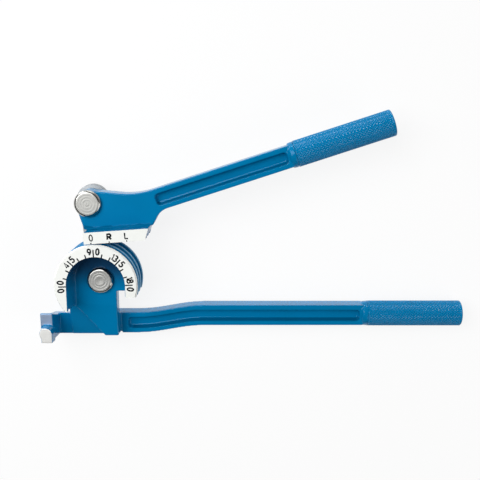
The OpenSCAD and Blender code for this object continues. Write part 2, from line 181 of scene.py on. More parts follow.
def wire(tree, node, inputs):
    """Sets a node's inputs to values, or links them to sockets, or to the first output in use of
    other nodes."""
    for socket, value in inputs.items():
        if isinstance(value, bpy.types.Node):
            value = next(output for output in value.outputs if output.enabled)
        if isinstance(value, bpy.types.NodeSocket):
            tree.links.new(value, node.inputs[socket])
        else:
            node.inputs[socket].default_value = value
    return node


def add(tree, kind, inputs=None, **settings):
    """Adds a node: settings are its own properties, inputs what its sockets are wired to."""
    node = tree.nodes.new(kind)
    for key, value in settings.items():
        setattr(node, key, value)
    return wire(tree, node, inputs or {})


def zone(tree, *bands):
    """Product of smooth bands. Each one tells what is measured, the two values between which the
    band changes, and from what share to what share."""
    share = 1.0
    for measure, low, high, start, end in bands:
        band = add(tree, "ShaderNodeMapRange", {"Value": measure, "From Min": low, "From Max": high,
                                                "To Min": start, "To Max": end},
                   interpolation_type="SMOOTHSTEP")
        share = add(tree, "ShaderNodeMath", {0: share, 1: band}, operation="MULTIPLY")
    return share


def material(name, **surface):
    """Material with a plain Principled surface, to which a pattern is then added. Its tree, its
    shader and its object coordinates come with it."""
    made = bpy.data.materials.new(name)
    made.use_nodes = True
    tree = made.node_tree
    shader = wire(tree, tree.nodes["Principled BSDF"],
                  {socket.replace("_", " "): value for socket, value in surface.items()})
    return made, tree, shader, add(tree, "ShaderNodeTexCoord").outputs["Object"]


def stove_enamel(name, coat, gloss, shade=1.0):
    """Stove enamel on die-cast aluminium: deep even colour, a wet-looking coat with faint orange
    peel, and slight drifts of shade where the coat lies thicker. It also carries painted shade in
    the mandrel's pocket and painted highlights on the ridges' edges. Coat and gloss say how
    strongly it mirrors, and a shade below one darkens it all as painted shade."""
    made, tree, shader, place = material(
        name, IOR=1.5, Specular_IOR_Level=gloss, Specular_Tint=linear("#5FB0EA"),
        Coat_Weight=coat, Coat_Roughness=0.06)
    # Drifts of shade about 25 mm across
    drift = add(tree, "ShaderNodeTexNoise", {"Vector": place, "Scale": 1 / (25 * MM),
                                             "Detail": 1.0})
    paint = add(tree, "ShaderNodeMix", {"Factor": drift,
                                        "A": shaded(props("castings").enamel_deep, shade),
                                        "B": shaded(props("castings").enamel, shade)},
                data_type="RGBA")
    x, y, z = add(tree, "ShaderNodeSeparateXYZ", {0: place}).outputs
    flat = add(tree, "ShaderNodeVectorMath", {0: place, 1: (1, 1, 0)}, operation="MULTIPLY")
    across = add(tree, "ShaderNodeVectorMath", {0: flat}, operation="LENGTH")
    # Painted shade darkens the upper half of the mandrel's pocket, which reaches 22.6 mm from the
    # axis
    painted_pocket_shade = zone(tree, (across, 22.6 * MM, 22.9 * MM, 1, 0), (z, 52.5 * MM, 53.5 * MM, 1, 0),
                 (z, 32 * MM, 33 * MM, 0, 1), (y, -9 * MM, 14 * MM, 0, 1),
                 (drift, 0, 0.9, 0.75, 0.95))
    # Painted highlights: light lines along the front edges of the ridges behind the scale
    painted_ridge_highlights = 0.0
    for edge in RIDGE_FRONTS:
        ridge_highlight = zone(tree, (z, edge - 0.8 * MM, edge - 0.4 * MM, 0, 1),
                     (z, edge + 0.2 * MM, edge + 0.4 * MM, 1, 0),
                     (across, 31.5 * MM, 32 * MM, 0, 1), (across, 33 * MM, 33.5 * MM, 1, 0),
                     (x, 4 * MM, 16 * MM, 0, 1))
        painted_ridge_highlights = add(tree, "ShaderNodeMath", {0: painted_ridge_highlights, 1: ridge_highlight}, operation="ADD")
    # Mixes in the painted pocket shade and the painted ridge highlights
    for share, tint in ((painted_pocket_shade, "#1A2C4E"), (painted_ridge_highlights, "#86BFE0")):
        paint = add(tree, "ShaderNodeMix", {"Factor": share, "A": paint, "B": linear(tint)},
                    data_type="RGBA")
    # Orange peel about 1.6 mm across
    peel = add(tree, "ShaderNodeTexNoise", {"Vector": place, "Scale": 1 / (1.6 * MM),
                                            "Detail": 2.0})
    rough = add(tree, "ShaderNodeMapRange", {"Value": peel, "From Min": 0.3, "From Max": 0.7,
                                             "To Min": 0.2, "To Max": 0.25})
    bump = add(tree, "ShaderNodeBump", {"Height": peel, "Strength": 0.06, "Distance": 0.04 * MM})
    wire(tree, shader, {"Base Color": paint, "Roughness": rough, "Normal": bump})
    return made


def screen_print(name, tint, roughness, gloss):
    """Screen-printed enamel ink: flat, slightly chalky, with a fine mesh of the screen in its
    sheen."""
    made, tree, shader, place = material(name, IOR=1.48, Specular_IOR_Level=gloss)
    # Clouds about 6 mm across
    cloud = add(tree, "ShaderNodeTexNoise", {"Vector": place, "Scale": 1 / (6 * MM),
                                             "Detail": 4.0})
    ink = add(tree, "ShaderNodeMix", {"Factor": cloud, "A": shaded(tint, 0.93), "B": tint},
              data_type="RGBA")
    # Screen mesh, drawn at 0.5 mm because the real 0.15 mm would not show
    mesh = add(tree, "ShaderNodeTexVoronoi", {"Vector": place, "Scale": 1 / (0.5 * MM)})
    rough = add(tree, "ShaderNodeMapRange", {"Value": mesh, "To Min": roughness - 0.06,
                                             "To Max": roughness + 0.08})
    bump = add(tree, "ShaderNodeBump", {"Height": mesh, "Strength": 0.05, "Distance": 0.02 * MM})
    wire(tree, shader, {"Base Color": ink, "Roughness": rough, "Normal": bump})
    return made


def turned_steel(name, centre, face):
    """Bright steel faced on a lathe: fine rings round the pin's axis that spread the light across
    them, and a polished bevel outside the face."""
    made, tree, shader, place = material(name)
    about = add(tree, "ShaderNodeMapping", {"Vector": place,
                                            "Location": (-centre.x, -centre.y, 0)})
    flat = add(tree, "ShaderNodeVectorMath", {0: about, 1: (1, 1, 0)}, operation="MULTIPLY")
    radius = add(tree, "ShaderNodeVectorMath", {0: flat}, operation="LENGTH")
    # Feed rings are 0.1 mm apart on a real pin and are drawn coarser so that they show
    rings = add(tree, "ShaderNodeTexNoise", {"W": radius, "Scale": 1 / props("pivots").turning,
                                             "Detail": 3.0}, noise_dimensions="1D")
    # Clouds about 4 mm across
    cloud = add(tree, "ShaderNodeTexNoise", {"Vector": place, "Scale": 1 / (4 * MM),
                                             "Detail": 4.0})
    both = add(tree, "ShaderNodeMix", {"Factor": 0.3, "A": rings, "B": cloud})
    tone = add(tree, "ShaderNodeMapRange", {"Value": both, "From Min": 0.3, "From Max": 0.7})
    bright = props("pivots").steel
    metal = add(tree, "ShaderNodeMix", {"Factor": tone, "A": shaded(bright, 0.72), "B": bright},
                data_type="RGBA")
    rough = add(tree, "ShaderNodeMix", {"Factor": tone, "A": 0.6, "B": 0.46})
    bevel = add(tree, "ShaderNodeMath", {0: radius, 1: face}, operation="GREATER_THAN")
    polish = add(tree, "ShaderNodeMix", {"Factor": bevel, "A": rough, "B": 0.14})
    clean = add(tree, "ShaderNodeMix", {"Factor": bevel, "A": 0.75, "B": 1.0})
    bump = add(tree, "ShaderNodeBump", {"Height": rings, "Strength": 0.35, "Distance": 0.08 * MM})
    wire(tree, shader, {"Base Color": metal, "Roughness": polish, "Metallic": clean,
                        "Normal": bump})
    return made


def rolled_metal(name, tint, grain, roughness, along=0.0, metallic=1.0):
    """Rolled, milled or plated sheet: a bright base with streaks along the grain and soft blotches.
    A metallic share below one stands for the dull film on a milled or plated face."""
    made, tree, shader, place = material(name, Metallic=metallic)
    stretched = add(tree, "ShaderNodeMapping", {"Vector": place, "Rotation": (0, 0, -along),
                                                "Scale": (0.06, 1, 1)})
    streak = add(tree, "ShaderNodeTexNoise", {"Vector": stretched, "Scale": 1 / grain,
                                              "Detail": 4.0})
    # Blotches about 5 mm across
    blotch = add(tree, "ShaderNodeTexNoise", {"Vector": place, "Scale": 1 / (5 * MM),
                                              "Detail": 2.0})
    both = add(tree, "ShaderNodeMix", {"Factor": 0.35, "A": streak, "B": blotch})
    metal = add(tree, "ShaderNodeMix", {"Factor": both, "A": shaded(tint, 0.8), "B": tint},
                data_type="RGBA")
    rough = add(tree, "ShaderNodeMapRange", {"Value": both, "From Min": 0.3, "From Max": 0.7,
                                             "To Min": roughness - 0.08,
                                             "To Max": roughness + 0.08})
    bump = add(tree, "ShaderNodeBump", {"Height": streak, "Strength": 0.2, "Distance": 0.04 * MM})
    wire(tree, shader, {"Base Color": metal, "Roughness": rough, "Normal": bump})
    return made


def finish(name, make, **values):
    """Material that is made once and then shared."""
    return bpy.data.materials.get(name) or make(name, **values)


def enamel():
    """Clean gloss enamel."""
    return finish("stove_enamel", stove_enamel, coat=0.3, gloss=0.15)


def shaded_dull_enamel():
    """Enamel on a ledge or a pocket's lower wall, dulled and darkened there as painted shade."""
    return finish("dull_stove_enamel", stove_enamel, coat=0.0, gloss=0.05, shade=0.66)


def white_print():
    """Ground of the scale and the index strip."""
    return finish("white_screen_print", screen_print, tint=props("print").white,
                  roughness=0.42, gloss=0.4)


def black_print():
    """Ink of figures, ticks and marks."""
    return finish("black_print_ink", screen_print, tint=props("print").ink,
                  roughness=0.6, gloss=0.1)


def linked(name, data):
    """Object in the scene with this data."""
    made = bpy.data.objects.new(name, data)
    bpy.context.scene.collection.objects.link(made)
    return made


def piece(name, mesh, body, slot, *replaced):
    """Object of a finished mesh that rides on a body and may stand for solids."""
    made = linked(name, mesh)
    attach(made, body)
    if replaced:
        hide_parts(*replaced)
    return made


def plain(holder):
    """Plain mesh of an object as its modifiers leave it. The object is removed."""
    depsgraph = bpy.context.evaluated_depsgraph_get()
    mesh = bpy.data.meshes.new_from_object(holder.evaluated_get(depsgraph), depsgraph=depsgraph)
    old = holder.data
    bpy.data.objects.remove(holder)
    if old.users == 0 and isinstance(old, bpy.types.Mesh):
        bpy.data.meshes.remove(old)
    return mesh


def applied(mesh, *modifiers):
    """Mesh after modifiers, each given as a kind and its settings."""
    holder = linked("holder", mesh)
    for kind, settings in modifiers:
        modifier = holder.modifiers.new(kind.lower(), kind)
        for key, value in settings.items():
            setattr(modifier, key, value)
    return plain(holder)


def grown(name, tree, values):
    """Mesh that a tree of geometry nodes makes from inputs given by name."""
    holder = linked(name, bpy.data.meshes.new(name))
    modifier = holder.modifiers.new(name, "NODES")
    modifier.node_group = tree
    for item in tree.interface.items_tree:
        if item.item_type == "SOCKET" and item.in_out == "INPUT" and item.name in values:
            modifier[item.identifier] = values[item.name]
    return plain(holder)


def new_tree(name, inputs):
    """Tree of geometry nodes with named inputs, the sockets that bring these in, and its end."""
    tree = bpy.data.node_groups.new(name, "GeometryNodeTree")
    for socket, kind in inputs.items():
        tree.interface.new_socket(socket, in_out="INPUT", socket_type="NodeSocket" + kind)
    tree.interface.new_socket("Geometry", in_out="OUTPUT", socket_type="NodeSocketGeometry")
    return tree, tree.nodes.new("NodeGroupInput").outputs, tree.nodes.new("NodeGroupOutput")


def as_mesh(name, shape):
    """Mesh of a bmesh, with its faces turned outwards. The bmesh is freed."""
    bmesh.ops.recalc_face_normals(shape, faces=shape.faces)
    mesh = bpy.data.meshes.new(name)
    shape.to_mesh(mesh)
    shape.free()
    return mesh


def joined(name, meshes, gap=0.0):
    """One mesh of several, which are removed. A gap says up to which distance doubles merge."""
    shape = bmesh.new()
    for mesh in meshes:
        shape.from_mesh(mesh)
        bpy.data.meshes.remove(mesh)
    if gap:
        bmesh.ops.remove_doubles(shape, verts=shape.verts, dist=gap)
    return as_mesh(name, shape)


def welded(mesh):
    """Copy of a mesh with its doubles merged."""
    made = mesh.copy()
    shape = bmesh.new()
    shape.from_mesh(made)
    bmesh.ops.remove_doubles(shape, verts=shape.verts, dist=0.001 * MM)
    shape.to_mesh(made)
    shape.free()
    return made


def dressed(mesh, surface, sharp):
    """Gives a mesh its material and smooth shading, with edges over an angle in degrees sharp."""
    mesh.materials.clear()
    mesh.materials.append(surface)
    mesh.shade_smooth()
    mesh.set_sharp_from_angle(angle=math.radians(sharp))


def lathe(profile, columns):
    """Shape of revolution about X through points (x, r). A point with r = 0 closes it."""
    shape = bmesh.new()
    turns = [math.tau * i / columns for i in range(columns)]
    rows = []
    for x, r in profile:
        if r == 0:
            rows.append([shape.verts.new((x, 0, 0))] * columns)
        else:
            rows.append([shape.verts.new((x, r * math.sin(t), r * math.cos(t))) for t in turns])
    for low, high in zip(rows, rows[1:]):
        for i in range(columns):
            j = (i + 1) % columns
            corners = list(dict.fromkeys([low[i], low[j], high[j], high[i]]))
            if len(corners) > 2:
                shape.faces.new(corners)
    return shape


def bow(cx, cy, rx, ry, first, last, steps=None):
    """Points of an oval arc between two angles in degrees, by default about 15 degrees apart."""
    steps = steps or max(4, round(abs(last - first) / 15))
    turns = [math.radians(first + (last - first) * i / steps) for i in range(steps + 1)]
    return [(cx + rx * math.cos(t), cy + ry * math.sin(t)) for t in turns]


def eased(mesh, rounds, crisp):
    """Rounds a dense mesh's edges by moving each point half-way to the mean of its neighbours, and
    only once where a test says that they stay crisp."""
    n = len(mesh.vertices)
    at = np.empty(n * 3)
    mesh.vertices.foreach_get("co", at)
    at = at.reshape(-1, 3)
    edges = np.empty(len(mesh.edges) * 2, dtype=np.int32)
    mesh.edges.foreach_get("vertices", edges)
    edges = edges.reshape(-1, 2)
    here, there = np.concatenate([edges, edges[:, ::-1]]).T
    count = np.bincount(here, minlength=n)[:, None]
    held = crisp(at)[:, None]
    for turn in range(rounds):
        free = np.where(held & (turn > 0), 0.0, 0.5)
        around = np.stack([np.bincount(here, weights=at[there, axis], minlength=n)
                           for axis in range(3)], 1)
        at = at + free * (around / count - at)
    mesh.vertices.foreach_set("co", at.ravel())
    mesh.update()


def machined(at):
    """Where a casting is machined, so that its edges are crisp: the printed fronts, grooves, shoe
    and nose."""
    x, y, z = at.T
    across = np.hypot(x, y)
    grooves = ((across > GROOVES_INNER) & (across < GROOVES_OUTER) & (y > ROUND_END_Y)
               & (z > GROOVES_BACK))
    up = ((y - HANDLE_PIN.y) * math.cos(SHOE_TILT) - (x - HANDLE_PIN.x) * math.sin(SHOE_TILT))
    # The shoe lies over the mandrel, and the foot of the blade is crisp with it
    shoe = (up < SHOE_TOP + 1.5 * MM) & (y > 20 * MM) & (z > BLADE_Z - 0.6 * MM)
    nose = (x < NOSE_X) & (z > STEP_Z)
    return grooves | shoe | nose | (z > FRONT_Z - SLACK)


def grip_place(node):
    """Where a grip begins and which way it runs, with its axis along local X."""
    low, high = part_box(node)
    middle = (low + high) / 2
    if node == "fixed_grip":
        return Matrix.Translation((low.x, middle.y, middle.z))
    along = Matrix.Rotation(BEAM_TURN, 4, "Z")
    start = HANDLE_PIN + along @ MOVING_GRIP_AT
    return Matrix.Translation((start.x, start.y, middle.z)) @ along


def casting(node, name, body, grip):
    """A casting with eased edges and fillets in place of its sharp solid. The neck is filled out
    to its grip."""
    mesh = welded(NODES[node].data)
    # The neck starts inside the beam, swells to the grip's width and stops just before the grip
    root, stop = -5.5 * MM, -0.1 * MM
    neck = lathe([(root, 0), (root, 7.5 * MM), (-NECK, GRIP_RADIUS - 0.5 * MM),
                  (stop, GRIP_RADIUS - 0.2 * MM), (stop, 0)], columns=64)
    neck.transform(grip_place(grip))
    bmesh.ops.recalc_face_normals(neck, faces=neck.faces)
    neck.from_mesh(mesh)
    neck.to_mesh(mesh)
    neck.free()
    mesh = applied(mesh, ("REMESH", {"mode": "VOXEL", "voxel_size": props("castings").grain}))
    eased(mesh, props("castings").easing, machined)
    mesh = applied(mesh, ("DECIMATE", {"ratio": 0.3}))
    dressed(mesh, enamel(), sharp=35)
    mesh = applied(mesh, ("WEIGHTED_NORMAL", {"keep_sharp": True}))
    mesh.name = name
    return piece(name, mesh, body, "paint", node)


def further(made, *surfaces):
    """Adds materials to a piece and gives their numbers."""
    materials = made.data.materials
    for surface in surfaces:
        materials.append(surface)
    return range(len(materials) - len(surfaces), len(materials))


def shade_pocket_wall(made, grip, reach, dull):
    """Gives the painted-shade enamel to the lower wall of a beam's pocket, which reaches this far
    back from the grip."""
    into = grip_place(grip).inverted()
    turn = into.to_3x3()
    faces = made.data.polygons
    along, up, front = np.array([into @ face.center for face in faces]).T
    rise = np.array([(turn @ face.normal).y for face in faces])
    beam = (along > -reach) & (along < -NECK) & (np.abs(front) < BEAM_DEPTH / 2 + 0.2 * MM)
    wall = beam & (front > WEB / 2 + SLACK) & (rise > 0.2)
    # The beam bends, so its middle is found in steps of 4 mm along it
    step = np.floor(along / (4 * MM)).astype(int)
    middle = {}
    for i in set(step[beam]):
        part = up[beam & (step == i)]
        middle[i] = (part.min() + part.max()) / 2
    for i in np.flatnonzero(wall):
        if up[i] < middle[step[i]]:
            faces[i].material_index = dull


class BENDER_OT_castings(bpy.types.Operator):
    """Builds the two castings with eased edges, bares places on them and paints shade on others"""
    bl_idname = "bender.castings"
    bl_label = "Castings"

    def execute(self, context):
        milled_metal = finish("milled_aluminium", rolled_metal, tint=linear("#EEEEEB"),
                              grain=0.7 * MM, roughness=0.45, along=math.radians(90), metallic=0.2)
        # The ground faces are bare aluminium in a darker bluish grey, a painted reflection of the
        # blue enamel round them
        ground_metal_painted_reflection = finish("ground_aluminium", rolled_metal, tint=linear("#98A9C2"),
                              grain=0.9 * MM, roughness=0.5, metallic=0.6)
        body = casting("body_casting", "enamelled_body", "body", "fixed_grip")
        milled, ground, white, dull = further(body, milled_metal, ground_metal_painted_reflection, white_print(),
                                              shaded_dull_enamel())
        # The fixed beam's pocket gets painted shade on its lower wall
        shade_pocket_wall(body, "fixed_grip", FIXED_POCKET, dull)
        for face in body.data.polygons:
            at, facing = face.center, face.normal
            across = math.hypot(at.x, at.y) - SCALE_OUTER
            # The scale's white runs on over the bevel round it
            if -MM < across < 2 * MM and at.z > FRONT_Z - 1.3 * MM:
                if facing.z > 0.3 and at.x > -SCALE_OUTER - 2 * MM and at.y > ROUND_END_Y:
                    face.material_index = white
            # The hook's nose and the step behind it are machined after painting, the step in the
            # bluish grey of painted reflection
            elif at.x < HOOK_INNER_X and facing.z > 0.9:
                if at.z > FRONT_Z - SLACK:
                    face.material_index = milled
                elif abs(at.z - STEP_Z) < SLACK and at.y > STEP_END_Y:
                    face.material_index = ground
            # So is the lower corner of its inner side, where the gate was ground off; its bluish
            # grey is painted reflection too
            elif facing.x > 0.9 and HOOK_OUTER_X < at.x < HOOK_INNER_X:
                below = STEP_Z - at.z
                if 0 < below < STEP_Z - CORNER_Z and at.y < CORNER_Y - below * CORNER_SLOPE:
                    face.material_index = ground
        handle = casting("handle_casting", "enamelled_handle", "handle", "moving_grip")
        ground, dull = further(handle, ground_metal_painted_reflection, shaded_dull_enamel())
        along = Vector((math.cos(SHOE_TILT), math.sin(SHOE_TILT), 0))
        upward = Vector((-along.y, along.x, 0))
        for face in handle.data.polygons:
            at, facing = face.center, face.normal
            # The shoe's right end is sawn off after painting, and shows the bluish grey of painted
            # reflection
            if facing.dot(along) > 0.8 and at.z > BLADE_Z + SLACK and at.x > 25 * MM:
                face.material_index = ground
            # The ledge over the shoe, up to the fillet with the blade, gets painted shade
            elif BLADE_Z - 0.5 * MM < at.z < FRONT_Z - 0.02 * MM and facing.dot(upward) > -0.2:
                if (at - HANDLE_PIN).dot(upward) < SHOE_TOP + 2.5 * MM:
                    face.material_index = dull
        # So does the moving beam's pocket
        shade_pocket_wall(handle, "moving_grip", MOVING_POCKET, dull)
        return {"FINISHED"}


def knurl_tree():
    """Sleeve along X whose radius drops along two crossing sets of helical grooves. They are about
    2 mm apart, twice as far as on a real grip, so that they show."""
    tree, value, out = new_tree("knurled sleeve", {
        "Length": "Float", "Radius": "Float", "Depth": "Float", "Starts": "Float", "Turns": "Float",
        "Fade": "Float", "Rows": "Int", "Columns": "Int", "Material": "Material"})
    grid = add(tree, "GeometryNodeMeshGrid", {"Size X": 1.0, "Size Y": 1.0,
                                              "Vertices X": value["Rows"],
                                              "Vertices Y": value["Columns"]})
    position = add(tree, "GeometryNodeInputPosition")
    x, y, _ = add(tree, "ShaderNodeSeparateXYZ", {0: position}).outputs
    # Each step's name, what it does, and the numbers, inputs and earlier steps that it takes
    known = {"x": x, "y": y, **{socket.name: socket for socket in value}}
    for name, operation, *taken in (
            ("along", "ADD", "x", 0.5),
            ("round", "ADD", "y", 0.5),
            ("twist", "MULTIPLY", "along", "Turns"),
            ("right turn", "ADD", "round", "twist"),
            ("right count", "MULTIPLY", "right turn", "Starts"),
            ("right slope", "PINGPONG", "right count", 0.5),
            ("left turn", "SUBTRACT", "round", "twist"),
            ("left count", "MULTIPLY", "left turn", "Starts"),
            ("left slope", "PINGPONG", "left count", 0.5),
            ("slope", "MINIMUM", "right slope", "left slope"),
            ("groove", "MULTIPLY_ADD", "slope", -2.0, 1.0),
            ("remaining", "SUBTRACT", 1.0, "along"),
            ("nearer end", "MINIMUM", "along", "remaining"),
            ("end length", "MULTIPLY", "nearer end", "Length"),
            ("run-out", "DIVIDE", "end length", "Fade"),
            ("reach", "MINIMUM", "run-out", 1.0),
            ("share", "MULTIPLY", "groove", "reach"),
            ("cut", "MULTIPLY", "share", "Depth"),
            ("radius", "SUBTRACT", "Radius", "cut"),
            ("angle", "MULTIPLY", "round", math.tau),
            ("sine", "SINE", "angle"),
            ("cosine", "COSINE", "angle"),
            ("X", "MULTIPLY", "along", "Length"),
            ("Y", "MULTIPLY", "radius", "sine"),
            ("Z", "MULTIPLY", "radius", "cosine")):
        known[name] = add(tree, "ShaderNodeMath",
                          {i: known.get(source, source) for i, source in enumerate(taken)},
                          operation=operation)
    point = add(tree, "ShaderNodeCombineXYZ", {axis: known[axis] for axis in "XYZ"})
    placed = add(tree, "GeometryNodeSetPosition", {"Geometry": grid, "Position": point})
    closed = add(tree, "GeometryNodeMergeByDistance", {"Geometry": placed,
                                                       "Distance": 0.0001 * MM})
    real = add(tree, "GeometryNodeRealizeInstances", {"Geometry": closed})
    done = add(tree, "GeometryNodeSetMaterial", {"Geometry": real, "Material": value["Material"]})
    wire(tree, out, {0: done})
    return tree


class BENDER_OT_grips(bpy.types.Operator):
    """Builds both knurled grips"""
    bl_idname = "bender.grips"
    bl_label = "Grips"

    def execute(self, context):
        grip = props("grips")
        # Roundings at the two ends, the sleeve's wall, and the facets across each knurl groove
        front_ease, back_ease, wall, facets = 0.5 * MM, MM, 2.6 * MM, 8
        bore, bore_end = GRIP_RADIUS - wall, GRIP_LENGTH - 2 * wall
        knurl = GRIP_LENGTH - front_ease - back_ease
        columns = grip.starts * facets
        turns = knurl * math.tan(grip.helix) / (math.tau * GRIP_RADIUS)
        sleeve = grown("knurl", knurl_tree(), {
            "Length": knurl, "Radius": GRIP_RADIUS, "Depth": grip.depth,
            "Starts": float(grip.starts), "Turns": turns, "Fade": grip.fade,
            "Rows": max(facets, round(turns * columns)) + 1, "Columns": columns + 1,
            "Material": enamel()})
        sleeve.transform(Matrix.Translation((front_ease, 0, 0)))
        front = lathe([(bore_end, 0), (bore_end, bore), (0, bore)]
                      + bow(front_ease, GRIP_RADIUS - front_ease, front_ease, front_ease,
                            180, 90, 4), columns)
        # A ring inside the flat end keeps its faces short
        back = lathe(bow(GRIP_LENGTH - back_ease, GRIP_RADIUS - back_ease, back_ease, back_ease,
                         90, 0, 8)
                     + [(GRIP_LENGTH, GRIP_RADIUS * 0.4), (GRIP_LENGTH, 0)], columns)
        whole = joined("grip", [sleeve, as_mesh("front", front), as_mesh("back", back)],
                       gap=0.002 * MM)
        for name, body, node in (("knurled_fixed_grip", "body", "fixed_grip"),
                                 ("knurled_moving_grip", "handle", "moving_grip")):
            mesh = whole.copy()
            mesh.name = name
            mesh.transform(grip_place(node))
            dressed(mesh, enamel(), sharp=14)
            piece(name, mesh, body, "paint", node)
        bpy.data.meshes.remove(whole)
        return {"FINISHED"}


def tick_tree():
    """Ticks on an arc, with a long one every so many."""
    tree, value, out = new_tree("scale ticks", {
        "Count": "Int", "Every": "Int", "First": "Float", "Step": "Float", "Inner": "Float",
        "Long": "Float", "Short": "Float", "Width": "Float", "Thickness": "Float",
        "Level": "Float", "Material": "Material"})
    # Each step's name, what it does, and the numbers, inputs and earlier steps that it takes
    known = {"index": add(tree, "GeometryNodeInputIndex"),
             **{socket.name: socket for socket in value}}
    for name, operation, *taken in (
            ("swept", "MULTIPLY", "index", "Step"),
            ("angle", "SUBTRACT", "First", "swept"),
            ("turn", "MODULO", "index", "Every"),
            ("marked", "COMPARE", "turn", 0.0, 0.5),
            ("more", "SUBTRACT", "Long", "Short"),
            ("reach", "MULTIPLY_ADD", "marked", "more", "Short"),
            ("radius", "MULTIPLY_ADD", "reach", 0.5, "Inner"),
            ("cosine", "COSINE", "angle"),
            ("sine", "SINE", "angle"),
            ("X", "MULTIPLY", "radius", "cosine"),
            ("Y", "MULTIPLY", "radius", "sine")):
        known[name] = add(tree, "ShaderNodeMath",
                          {i: known.get(source, source) for i, source in enumerate(taken)},
                          operation=operation)
    spot = add(tree, "ShaderNodeCombineXYZ", {"X": known["X"], "Y": known["Y"],
                                              "Z": value["Level"]})
    points = add(tree, "GeometryNodePoints", {"Count": value["Count"], "Position": spot})
    bar = add(tree, "GeometryNodeMeshCube", {"Size": (1, 1, 1)})
    size = add(tree, "ShaderNodeCombineXYZ", {"X": known["reach"], "Y": value["Width"],
                                              "Z": value["Thickness"]})
    turned = add(tree, "ShaderNodeCombineXYZ", {"Z": known["angle"]})
    put = add(tree, "GeometryNodeInstanceOnPoints", {"Points": points, "Instance": bar,
                                                     "Rotation": turned, "Scale": size})
    real = add(tree, "GeometryNodeRealizeInstances", {"Geometry": put})
    done = add(tree, "GeometryNodeSetMaterial", {"Geometry": real, "Material": value["Material"]})
    wire(tree, out, {0: done})
    return tree


# Strokes of the figures and marks, on a body one high
STROKES = {
    "0": [bow(0.3, 0.5, 0.25, 0.5, 90, 450)],
    "1": [[(0.16, 0.78), (0.34, 1), (0.34, 0)]],
    "3": [bow(0.26, 0.75, 0.24, 0.25, 150, -90), bow(0.26, 0.25, 0.28, 0.25, 90, -150)],
    "4": [[(0.46, 0), (0.46, 1), (0.04, 0.26), (0.62, 0.26)]],
    "5": [[(0.54, 1), (0.13, 1), (0.09, 0.54)], bow(0.28, 0.3, 0.27, 0.3, 130, -150)],
    "8": [bow(0.3, 0.76, 0.21, 0.24, 90, 450), bow(0.3, 0.27, 0.26, 0.27, 90, 450)],
    "9": [bow(0.3, 0.7, 0.25, 0.3, 0, 360), bow(0.05, 0.7, 0.5, 0.7, 0, -72)],
    "R": [[(0, 0), (0, 1), (0.34, 1)] + bow(0.36, 0.74, 0.29, 0.26, 75, -75)
          + [(0.34, 0.48), (0, 0.48)], [(0.34, 0.48), (0.68, 0)]],
    "L": [[(0, 1), (0, 0), (0.5, 0)]],
}
# Angle of each long tick on the scale, and the figures before and after it
FIGURES = ((0, "0", "0"), (45, "4", "5"), (90, "9", "0"), (135, "13", "5"), (180, "18", "0"))
# Degrees from a long tick to the figure after it, to the one before it, and on to the next before
AFTER, BEFORE, APART = 7.0, 6.6, 5.4
# Each letter on the shoe, its weight beside the figures, and where it and its dash lie along the
# shoe in millimetres
LETTERS = (("0", 0.72, 2.6, 2.3), ("R", 1.2, 16.5, 16.2), ("L", 0.95, 29.6, 29.6))
# Heights of the letters and the dashes on the shoe, below the handle pin, and a dash's size
LETTER_Y, DASH_Y = -24.6 * MM, -28.65 * MM
DASH_LENGTH, DASH_HEIGHT = 0.8 * MM, 1.1 * MM
# Distance of the figures' feet from the scale's inner edge
FIGURE_FOOT = 1.3 * MM
# Thickness of the ink
FILM = 0.04 * MM


def figure(text, height, stroke, place):
    """Mesh of one figure, centred at its place: strokes of an even width that lie flat on the
    face."""
    curve = bpy.data.curves.new("figure", "CURVE")
    curve.dimensions, curve.bevel_depth = "3D", stroke / 2
    curve.bevel_resolution, curve.use_fill_caps = 1, True
    body = height - stroke
    points = np.array([p for line in STROKES[text] for p in line])
    middle = (points.min(0) + points.max(0)) / 2
    for line in STROKES[text]:
        closed = math.dist(line[0], line[-1]) < 1e-6
        spline = curve.splines.new("POLY")
        spline.points.add(len(line) - 1 - closed)
        spline.use_cyclic_u = closed
        for point, at in zip(spline.points, line):
            point.co = (*((np.array(at) - middle) * body), 0, 1)
    mesh = plain(linked("figure", curve))
    bpy.data.curves.remove(curve)
    mesh.transform(place @ Matrix.Diagonal((1, 1, FILM / stroke, 1)))
    return mesh


